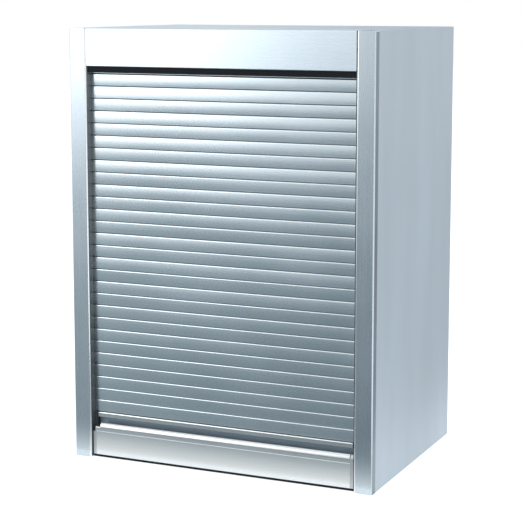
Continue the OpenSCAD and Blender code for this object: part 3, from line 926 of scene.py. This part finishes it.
# Operators
class CABINET_OT_stage(bpy.types.Operator):
    """Floor, light and camera"""

    bl_idname = "cabinet.stage"
    bl_label = "Stage"

    def execute(self, context):
        stage = settings("stage")
        context.scene.view_settings.view_transform = "Standard"
        self.room(context.scene, stage)
        self.floor()
        self.cards()
        self.softbox("key_softbox", stage.key, KEY_SIDE, KEY_PLACE, KEY_AIM)
        self.softbox("upper_softbox", stage.overhead, UPPER_SIDE, UPPER_PLACE, UPPER_AIM)
        self.camera(context.scene, stage)
        return {"FINISHED"}

    @staticmethod
    def seen(tree):
        """1 for rays from the camera and from gloss and glass, else 0."""
        rays = add_node(tree, "ShaderNodeLightPath")
        mirrored = maths(tree, "MAXIMUM", rays.outputs["Is Glossy Ray"], rays.outputs["Is Transmission Ray"])
        return maths(tree, "MAXIMUM", rays.outputs["Is Camera Ray"], mirrored)

    def room(self, scene, stage):
        """Even light all round, with a white background."""
        world = bpy.data.worlds.new("white_room")
        tree = empty_tree(world)
        even = add_node(tree, "ShaderNodeBackground", {"Color": ROOM_COLOUR, "Strength": stage.room})
        white = add_node(tree, "ShaderNodeBackground", {"Color": WHITE, "Strength": 1.0})
        both = add_node(tree, "ShaderNodeMixShader", {
            0: self.seen(tree), 1: even.outputs[0], 2: white.outputs[0]})
        add_node(tree, "ShaderNodeOutputWorld", {"Surface": both.outputs[0]})
        scene.world = world

    def floor(self):
        """Pale floor that fades into the background."""
        floor = quad("floor", lying((-FLOOR_REACH, -FLOOR_REACH), (FLOOR_REACH, FLOOR_REACH), 0.0))
        material = bpy.data.materials.new("pale_floor")
        tree = empty_tree(material)
        paper = add_node(tree, "ShaderNodeBsdfDiffuse", {"Color": FLOOR_COLOUR})
        strength = maths(tree, "MULTIPLY", self.seen(tree), FLOOR_GLOW)
        glow = add_node(tree, "ShaderNodeEmission", {"Color": WHITE, "Strength": strength})
        both = add_node(tree, "ShaderNodeAddShader", {0: paper.outputs[0], 1: glow.outputs[0]})
        add_node(tree, "ShaderNodeOutputMaterial", {"Surface": both.outputs[0]})
        floor.data.materials.append(material)

    def cards(self):
        """Cards that only shiny surfaces see: in front, to the right behind, and upright behind."""
        front = lying(FRONT_CARD_LOW, FRONT_CARD_HIGH, CARD_LIFT)
        rear = lying(REAR_CARD_LOW, REAR_CARD_HIGH, CARD_LIFT)
        back = standing(BACK_CARD_WIDTH, BACK_CARD_DEPTH, BACK_CARD_RISE)
        self.card("front_card", front, FRONT_CARD_RUN, FRONT_CARD_STOPS, FRONT_CARD_WHITE)
        self.card("rear_card", rear, TO_THE_RIGHT, REAR_CARD_STOPS)
        self.card("back_card", back, TO_THE_RIGHT, BACK_CARD_STOPS)

    @staticmethod
    def card(name, corners, along, stops, white=None):
        """A card whose glow follows stops along a direction, and turns white between two depths."""
        card = quad(name, corners)
        material = bpy.data.materials.new(name)
        tree = empty_tree(material)
        place = add_node(tree, "ShaderNodeTexCoord").outputs["Object"]
        direction = {0: place, 1: (*along, 0.0)}
        run = add_node(tree, "ShaderNodeVectorMath", direction, operation="DOT_PRODUCT").outputs["Value"]
        depth = add_node(tree, "ShaderNodeSeparateXYZ", {0: place}).outputs[1]

        def ramp(value, start, stop, rise):
            inputs = {"Value": value, "From Min": start, "From Max": stop, "To Min": 0.0, "To Max": rise}
            return add_node(tree, "ShaderNodeMapRange", inputs).outputs[0]

        level = stops[0][1]
        for (start, level_before), (stop, level_after) in zip(stops, stops[1:]):
            level = maths(tree, "ADD", level, ramp(run, start, stop, level_after - level_before))
        if white:
            lack = maths(tree, "SUBTRACT", 1.0, level)
            level = maths(tree, "ADD", level, maths(tree, "MULTIPLY", lack, ramp(depth, *white, 1.0)))
        tint = vector_sum(tree, tinted(tree, CARD_TINT_RISE, level), CARD_TINT)
        glow = add_node(tree, "ShaderNodeEmission", {"Color": tint, "Strength": level})
        add_node(tree, "ShaderNodeOutputMaterial", {"Surface": glow.outputs[0]})
        card.data.materials.append(material)
        card.visible_camera = False
        card.visible_diffuse = False
        card.visible_shadow = False
        card.visible_transmission = False

    @staticmethod
    def softbox(name, power, side, place, aim):
        """A square lamp turned towards its aim."""
        lamp = bpy.data.lights.new(name, "AREA")
        lamp.energy = power
        lamp.size = side
        lamp.color = LAMP_COLOUR
        box = linked(name, lamp)
        box.location = place
        box.rotation_euler = (Vector(aim) - Vector(place)).to_track_quat("-Z", "Y").to_euler()

    @staticmethod
    def camera(scene, stage):
        """A camera that looks at its target from the right and from above."""
        right = Vector((math.cos(stage.yaw), math.sin(stage.yaw), 0))
        level = Vector((-math.sin(stage.yaw), math.cos(stage.yaw), 0)) * math.cos(stage.pitch)
        ahead = level - Vector((0, 0, math.sin(stage.pitch)))
        camera = linked("camera", bpy.data.cameras.new("camera"))
        camera.location = right * stage.aside + Vector((0, 0, stage.target)) - ahead * stage.distance
        camera.rotation_euler = ahead.to_track_quat("-Z", "Y").to_euler()
        camera.data.lens = stage.lens
        camera.data.shift_y = stage.shift
        scene.camera = camera


class CABINET_OT_boards(bpy.types.Operator):
    """Side, top and bottom boards with rounded edge bands; back board and hidden wood"""

    bl_idname = "cabinet.boards"
    bl_label = "Boards"

    def execute(self, context):
        edge = settings("sizes").board_round
        side_plan = rectangle(INNER, RAIL_STRIP, HALF_WIDTH, PANEL_HIGH.y - FRONT)
        for side, place in (("right", upright), ("left", upright_left)):
            board = prism("side_board_" + side, [side_plan], place, PANEL_LOW.z, PANEL_HIGH.z)
            settle(bevelled(board, edge), "silver_laminate", "cabinet", "silver_board", "side_panel_" + side)
        for node, low, high in (("top_panel", TOP_LOW, TOP_HIGH), ("bottom_panel", BASE_LOW, BASE_HIGH)):
            board = prism(node.replace("panel", "board"), [self.plan(low, high)], upright, low.z, high.z)
            settle(bevelled(board, edge), "silver_laminate", "cabinet", "silver_board", node)
        dress("back_panel", "silver_laminate")
        dress("hanging_rail", "silver_laminate")
        dress("carcass_dowels", "raw_beech")
        return {"FINISHED"}

    @staticmethod
    def plan(low, high):
        """Outline of a board that is narrower between the rails."""
        narrow = FASCIA_HIGH.x
        step = RAIL_DEPTH + OPEN_HALF - narrow
        front, back = low.y - FRONT, high.y - FRONT
        half = [(narrow, front), (narrow, step), (high.x, step), (high.x, back)]
        return half + [(-x, y) for x, y in reversed(half)]


class CABINET_OT_rails(bpy.types.Operator):
    """Guide rails with their caps, liners and stops"""

    bl_idname = "cabinet.rails"
    bl_label = "Guide rails"

    def execute(self, context):
        sizes = settings("sizes")
        caps = []
        for side, place in (("right", upright), ("left", upright_left)):
            rail = prism("rail_" + side, self.section(sizes), place, RAIL_LOW.z, RAIL_HIGH.z)
            settle(rail, "brushed_rail", "cabinet", "rail_aluminium", "guide_rail_" + side)
            paint_edge_highlight_and_side_shade(rail)
            liner = prism("liner_" + side, [self.liner(sizes)], place, LINER_LOW.z, LINER_HIGH.z)
            settle(liner, "glossy_liner", "cabinet", "dark_plastic", "guide_liner_" + side)
            cap = prism("rail_cap_" + side, [self.cap(sizes)], place, RAIL_HIGH.z, HEIGHT)
            caps.append(bevelled(cap, sizes.small_round))
        settle(joined("rail_caps_pair", caps), "brushed_rail", "cabinet", "rail_aluminium", "rail_caps")
        dress("rail_stops", "matt_plastic")
        return {"FINISHED"}

    @staticmethod
    def front(sizes):
        """Corners that a rail and its cap share, from the inner front edge round to the inner rear edge."""
        edge, small = sizes.rail_round, sizes.small_round
        return [
            (OPEN_HALF, 0, edge), (HALF_WIDTH, 0, edge), (HALF_WIDTH, RAIL_STRIP, small),
            (INNER, RAIL_STRIP, 0), (INNER, RAIL_DEPTH, small), (OPEN_HALF, RAIL_DEPTH, small)]

    def section(self, sizes):
        """Outer outline and front chamber of the right rail."""
        small = sizes.small_round
        web = INNER - RAIL_WALL
        channel = RAIL_DEPTH - RAIL_WALL
        outer = rounded(self.front(sizes) + [
            (OPEN_HALF, channel, small), (web, channel, 0), (web, LIP_BACK, 0), (OPEN_HALF, LIP_BACK, small)])
        near, far = OPEN_HALF + RAIL_WALL, HALF_WIDTH - RAIL_WALL
        strip, back = RAIL_STRIP - RAIL_WALL, LIP_BACK - RAIL_WALL
        chamber = [
            (near, RAIL_WALL), (far, RAIL_WALL), (far, strip), (INNER, strip), (INNER, back), (near, back)]
        return outer, chamber

    def cap(self, sizes):
        """Plan of the cap on the right rail."""
        return rounded(self.front(sizes))

    @staticmethod
    def liner(sizes):
        """Liner round the rail's inner lip, with a bead along its face."""
        parts = 8
        flatness = 0.6
        bead = sizes.liner_bead
        rear_margin = 5 * bead
        face, front, back = LINER_LOW.x, LINER_LOW.y - FRONT, LINER_HIGH.y - FRONT
        middle = back - rear_margin
        turns = [math.pi * k / parts for k in range(parts, -1, -1)]
        arc = [(face - bead * math.sin(a) * flatness, middle - bead * math.cos(a)) for a in turns]
        lip = [(OPEN_HALF, front), (OPEN_HALF, LIP_BACK), (LINER_HIGH.x, LIP_BACK), (LINER_HIGH.x, back)]
        return lip + [(face, back)] + arc + [(face, front)]


class CABINET_OT_head(bpy.types.Operator):
    """Fascia over the shutter and the rubber seal under it"""

    bl_idname = "cabinet.head"
    bl_label = "Head"

    def execute(self, context):
        sizes = settings("sizes")
        fascia = prism("fascia_sheet", [self.fascia(sizes)], across, FASCIA_LOW.x, FASCIA_HIGH.x)
        settle(fascia, "brushed_fascia", "cabinet", "rail_aluminium", "fascia")
        strip = prism("head_strip", [self.strip(sizes)], across, SEAL_LOW.x, SEAL_HIGH.x)
        settle(strip, "matt_rubber", "cabinet", "black_rubber", "head_seal")
        return {"FINISHED"}

    @staticmethod
    def fascia(sizes):
        """Section of the fascia: a face, a lower flange and a shelf under the top board."""
        small = sizes.small_round
        sheet, foot = FASCIA_SHEET, sizes.fascia_foot
        depth = FASCIA_HIGH.y - FRONT
        low, high = FASCIA_LOW.z, FASCIA_HIGH.z
        shelf = TOP_LOW.z
        return rounded([
            (0, low, 2 * small), (foot, low, small), (foot, low + sheet, small), (sheet, low + sheet, small),
            (sheet, shelf - sheet, small), (depth, shelf - sheet, small), (depth, shelf, small),
            (sheet, shelf, 0), (sheet, high, small), (0, high, 2 * small)])

    @staticmethod
    def strip(sizes):
        """Section of the head seal: a stem and a lip that wipes the slats."""
        small = sizes.small_round
        front, tip = SEAL_LOW.y - FRONT, SEAL_HIGH.y - FRONT
        back, wiper = front + sizes.seal_stem, sizes.seal_wiper
        low, high = SEAL_LOW.z, SEAL_HIGH.z
        return rounded([
            (front, high, 0), (front, low, 2 * small), (tip, low, small), (tip, low + wiper / 2, small),
            (back, low + wiper, 2 * small), (back, high, 0)])


class CABINET_OT_slats(bpy.types.Operator):
    """The slats of the shutter, each on its own body"""

    bl_idname = "cabinet.slats"
    bl_label = "Slats"

    seed: IntProperty(name="Seed", description="Start of the draw of leans", default=11)

    def execute(self, context):
        sizes = settings("sizes")
        least_share = 0.2
        tree = slat_tree()
        draw = random.Random(self.seed)
        for i, node in enumerate(SLAT_NODES):
            low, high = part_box(node)
            lean = draw.uniform(least_share, 1) * sizes.slat_lean * (-1 if i % 2 else 1)
            piece = grow("shutter_" + node, tree, {
                "Length": high.x - low.x, "Height": high.z - low.z, "Face radius": sizes.slat_face_radius,
                "Face middle": sizes.slat_middle, "Shoulder slope": sizes.shoulder_slope,
                "Shoulder start": sizes.shoulder_start, "Shoulder radius": sizes.shoulder_radius,
                "Shoulder height": sizes.shoulder_height, "Curl": sizes.slat_curl, "Sheet": sizes.slat_sheet,
                "Lean": lean, "Place": (0.0, low.y, low.z), "Finish": finish_of("satin_slat")})
            settle(piece, "satin_slat", node, "slat_aluminium", node)
            paint_joint_shade(piece, low.z)
        return {"FINISHED"}


class CABINET_OT_handle_bar(bpy.types.Operator):
    """Handle bar with its finger lip, end caps and rubber seal"""

    bl_idname = "cabinet.handle_bar"
    bl_label = "Handle bar"

    def execute(self, context):
        sizes = settings("sizes")
        bar = bar_levels()
        self.grip(sizes, bar)
        self.brow(sizes, bar)
        self.ends(sizes, bar)
        self.seal(sizes)
        return {"FINISHED"}

    @staticmethod
    def lip(sizes, bar):
        """Corners of the bar's face and of the step out to its lip."""
        small = sizes.small_round
        lip_foot = bar.step + sizes.bar_step
        return [(bar.face, bar.low, small), (bar.face, bar.step, 0), (bar.front, lip_foot, small)]

    @staticmethod
    def crest(sizes, bar):
        """Corners of the lip's front from where it leaves the upright to its crest, and of its rear edge."""
        steps, lead = 10, 0.6 * MM
        radius, turn = sizes.lip_round, sizes.lip_turn
        foot = bar.crest - lead - radius * math.sin(turn)
        angles = [turn * k / steps for k in range(steps + 1)]
        curve = [(bar.front + radius * (1 - math.cos(a)), foot + radius * math.sin(a), 0) for a in angles]
        top = (curve[-1][0] + lead * math.tan(turn), bar.crest, lead / 2)
        return curve + [top, (bar.lip_back, bar.crest, sizes.small_round)]

    def grip(self, sizes, bar):
        """The profile with the lip and the groove, notched at its left end."""
        wall, small = sizes.bar_wall, sizes.small_round
        slope_end = bar.lip_back + sizes.groove_sink / 2
        outline = rounded(self.lip(sizes, bar) + self.crest(sizes, bar) + [
            (slope_end, bar.floor, small), (bar.inside, bar.floor, small), (bar.inside, bar.brow, 0),
            (bar.back, bar.brow, 0), (bar.back, bar.low, small)], steps=10)
        chamber = rectangle(bar.face + wall, bar.low + wall, bar.inside, bar.floor - wall)
        grip = prism("grip_profile", [outline, chamber], across, GRIP_LOW.x, GRIP_HIGH.x)
        spare = 2.0 * MM
        notch = prism("notch", [self.notch(sizes, bar, spare)], across,
                      GRIP_LOW.x - spare, GRIP_LOW.x + sizes.lip_inset)
        settle(cut_by(grip, notch), "brushed_bar", "handle_bar", "bar_aluminium", "handle_bar")

    @staticmethod
    def notch(sizes, bar, spare):
        """Section of the room above the lip where its crest stops, with a rounded lower front edge."""
        parts = 6
        edge = sizes.notch_round
        turns = [math.pi / 2 * k / parts for k in range(parts + 1)]
        arc = [(bar.front + edge - edge * math.cos(a), bar.floor - edge + edge * math.sin(a)) for a in turns]
        outside, top = bar.front - spare, bar.high + spare
        return [(outside, bar.floor - edge)] + arc + [(CURTAIN, bar.floor), (CURTAIN, top), (outside, top)]

    @staticmethod
    def brow(sizes, bar):
        """The hollow profile over the groove."""
        wall, small = sizes.bar_wall, sizes.small_round
        outline = rounded([
            (CURTAIN, bar.brow, small), (CURTAIN, bar.high, sizes.brow_round), (bar.back, bar.high, small),
            (bar.back, bar.brow, small)])
        slot = rectangle(CURTAIN + wall, bar.brow + wall, bar.inside, bar.high - wall)
        profile = prism("brow_profile", [outline, slot], across, BROW_LOW.x, BROW_HIGH.x)
        settle(profile, "brushed_bar", "handle_bar", "bar_aluminium", "handle_brow")

    def ends(self, sizes, bar):
        """End caps: the right one carries the lip on, the left one stops below the notch."""
        small = sizes.small_round
        lip = self.lip(sizes, bar)
        skin = rounded(lip + [
            (bar.front, bar.floor, small), (bar.inside, bar.floor, 0), (bar.inside, bar.brow, 0),
            (CURTAIN, bar.brow, small), (CURTAIN, bar.high, sizes.brow_round), (bar.back, bar.high, small),
            (bar.back, bar.low, small)])
        lipped = rounded(lip + self.crest(sizes, bar) + [(CURTAIN, bar.floor, 0), (CURTAIN, bar.low, 0)])
        block = rectangle(bar.face, bar.low, CURTAIN, bar.step)
        self.end(sizes, "right", upright, 1, skin, lipped)
        self.end(sizes, "left", upright_left, -1, skin, block)

    @staticmethod
    def end(sizes, side, place, sign, skin, block):
        """Grey cap on the bar's end, and the dark shoe that runs in the rail."""
        small = sizes.small_round
        start, seam = GRIP_HIGH.x, GRIP_HIGH.x + sizes.cap_skin
        plate = prism("cap_plate", [skin], across, sign * start, sign * seam)
        lump = bevelled(prism("cap_block", [block], across, sign * seam, sign * CAP_END), small)
        cap = joined("bar_cap_" + side, [plate, lump])
        settle(cap, "grained_cap", "handle_bar", "grey_plastic", "handle_cap_" + side)
        neck, back = (start + CAP_END) / 2, GRIP_HIGH.y - FRONT
        wide, deep = OPEN_HALF + SLIDE_GAP, CAP_HIGH.y - FRONT
        nose = 4 * small
        plan = rounded([
            (neck, CURTAIN, 0), (CAP_HIGH.x, CURTAIN, small), (CAP_HIGH.x, deep, nose), (wide, deep, nose),
            (wide, back, 0), (neck, back, 0)])
        shoe = bevelled(prism("bar_shoe_" + side, [plan], place, CAP_LOW.z, CAP_HIGH.z), small)
        settle(shoe, "matt_plastic", "handle_bar", "dark_plastic")

    @staticmethod
    def seal(sizes):
        """Rubber strip under the bar, rounded below."""
        front, back = FOOT_LOW.y - FRONT, FOOT_HIGH.y - FRONT
        radius = 4 * sizes.small_round
        section = rounded([
            (front, FOOT_HIGH.z, 0), (back, FOOT_HIGH.z, 0), (back, FOOT_LOW.z, radius),
            (front, FOOT_LOW.z, radius)])
        strip = prism("foot_strip", [section], across, -CAP_END, CAP_END)
        settle(strip, "matt_rubber", "handle_bar", "black_rubber", "bottom_seal")


class CABINET_OT_barrel(bpy.types.Operator):
    """Sprung barrel in the head with its brackets and straps"""

    bl_idname = "cabinet.barrel"
    bl_label = "Barrel"

    def execute(self, context):
        sizes = settings("sizes")
        for node in ("barrel_tube", "barrel_axle", "barrel_bracket_left", "barrel_bracket_right"):
            dress(node, "plated_steel")
        dress("barrel_plug_left", "matt_plastic")
        dress("barrel_plug_right", "matt_plastic")
        axis = (TUBE_LOW + TUBE_HIGH) / 2
        self.spring(sizes, axis)
        self.straps(sizes, axis)
        return {"FINISHED"}

    @staticmethod
    def spring(sizes, axis):
        """Torsion spring wound round the axle."""
        wire = sizes.spring_wire
        length = SPRING_HIGH.x - SPRING_LOW.x - wire
        spring = grow("spring_coil", spring_tree(), {
            "Length": length, "Radius": (SPRING_HIGH.z - SPRING_LOW.z - wire) / 2, "Wire": wire,
            "Turns": length / sizes.spring_pitch, "Place": (SPRING_LOW.x + wire / 2, axis.y, axis.z),
            "Finish": finish_of("plated_steel")})
        settle(spring, "plated_steel", "cabinet", "zinc_steel", "barrel_spring")

    def straps(self, sizes, axis):
        """Hanger straps from the top slat over the barrel, as they hang with the shutter down; the real
        straps shorten towards the barrel as the shutter rises.
        """
        section = self.tape(sizes, axis)
        solids = solids_of("hanger_straps")
        tapes = [prism("strap_tape", [section], across, low.x, high.x) for low, high in solids]
        straps = joined("strap_pair", tapes)
        settle(straps, "woven_webbing", "cabinet", "strap_webbing", "hanger_straps")
        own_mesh(straps)

    @staticmethod
    def tape(sizes, axis):
        """Section of a strap: up from the top slat, at a tangent on to the barrel and over its top."""
        parts = 24
        centre = Vector((axis.y - FRONT, axis.z))
        foot = Vector((SLAT_HIGH.y - FRONT - sizes.strap_sheet / 2, SLAT_HIGH.z + SLIDE_GAP))
        inner = (TUBE_HIGH.z - TUBE_LOW.z) / 2 + SLIDE_GAP
        run = foot - centre
        start = math.atan2(run.y, run.x) - math.acos(inner / run.length)
        away = Vector((math.cos(start), math.sin(start)))
        turns = [start - sizes.strap_wrap * k / parts for k in range(parts + 1)]

        def line(radius, lift):
            arc = [centre + radius * Vector((math.cos(a), math.sin(a))) for a in turns]
            return [foot + away * lift] + arc

        return line(inner, 0.0) + line(inner + sizes.strap_sheet, sizes.strap_sheet)[::-1]


class CABINET_OT_screws(bpy.types.Operator):
    """Countersunk screws of the rails, pan-head screws of the brackets and the fascia"""

    bl_idname = "cabinet.screws"
    bl_label = "Screws"

    def execute(self, context):
        sizes = settings("sizes")
        tree = screw_tree()
        pan = sizes.screw_head
        kinds = (
            ("rail_screws", RAIL_WALL, -RAIL_WALL), ("bracket_screws", pan, 0.0), ("fascia_screws", pan, 0.0))
        for node, height, base in kinds:
            boxes = solids_of(node)
            proud = height + base
            low, high = boxes[-1]
            head = high.y - low.y
            piece = grow(node + "_set", tree, {
                "Head diameter": head, "Neck diameter": sizes.screw_shank if base else head,
                "Head height": height, "Head base": base, "Shank diameter": sizes.screw_shank,
                "Shank length": max(high - low) - proud, "Finish": finish_of("plated_steel")},
                self.places(node, boxes, proud))
            settle(piece, "plated_steel", "cabinet", "zinc_steel", node)
        return {"FINISHED"}

    @staticmethod
    def places(name, boxes, proud):
        """A mesh with a point under each screw's proud part and the way that its head looks."""
        points, aims = [], []
        for low, high in boxes:
            size, middle = high - low, (low + high) / 2
            if size.z > size.x:
                points.append((middle.x, middle.y, low.z + proud))
                aims += (0.0, 0.0, -1.0)
            else:
                side = math.copysign(1.0, middle.x)
                points.append((middle.x - side * (size.x / 2 - proud), middle.y, middle.z))
                aims += (-side, 0.0, 0.0)
        mesh = bpy.data.meshes.new(name)
        mesh.from_pydata(points, [], [])
        mesh.attributes.new("aim", "FLOAT_VECTOR", "POINT").data.foreach_set("vector", aims)
        return mesh


STEPS = (CABINET_OT_stage, CABINET_OT_boards, CABINET_OT_rails, CABINET_OT_head, CABINET_OT_slats,
         CABINET_OT_handle_bar, CABINET_OT_barrel, CABINET_OT_screws)


class CABINET_PT_steps(bpy.types.Panel):
    """Lists the steps that dress the cabinet"""

    bl_idname = "CABINET_PT_steps"
    bl_label = "Roller Shutter Cabinet"
    bl_space_type = "VIEW_3D"
    bl_region_type = "UI"
    bl_category = "Cabinet"

    def draw(self, context):
        for step in STEPS:
            self.layout.operator(step.bl_idname)


GROUPS = {"sizes": CabinetSizes, "finish": CabinetFinish, "stage": CabinetStage}


def register():
    """Adds the property groups, the operators and the panel."""
    for name, group in GROUPS.items():
        bpy.utils.register_class(group)
        setattr(bpy.types.Scene, "cabinet_" + name, PointerProperty(type=group))
    for step in STEPS:
        bpy.utils.register_class(step)
    bpy.utils.register_class(CABINET_PT_steps)


def unregister():
    """Takes away what register adds."""
    bpy.utils.unregister_class(CABINET_PT_steps)
    for step in reversed(STEPS):
        bpy.utils.unregister_class(step)
    for name, group in GROUPS.items():
        delattr(bpy.types.Scene, "cabinet_" + name)
        bpy.utils.unregister_class(group)


def main():
    """Dresses the cabinet."""
    register()
    bpy.ops.cabinet.stage()
    bpy.ops.cabinet.boards()
    bpy.ops.cabinet.rails()
    bpy.ops.cabinet.head()
    bpy.ops.cabinet.slats()
    bpy.ops.cabinet.handle_bar()
    bpy.ops.cabinet.barrel()
    bpy.ops.cabinet.screws()


if __name__ == "__main__":
    main()
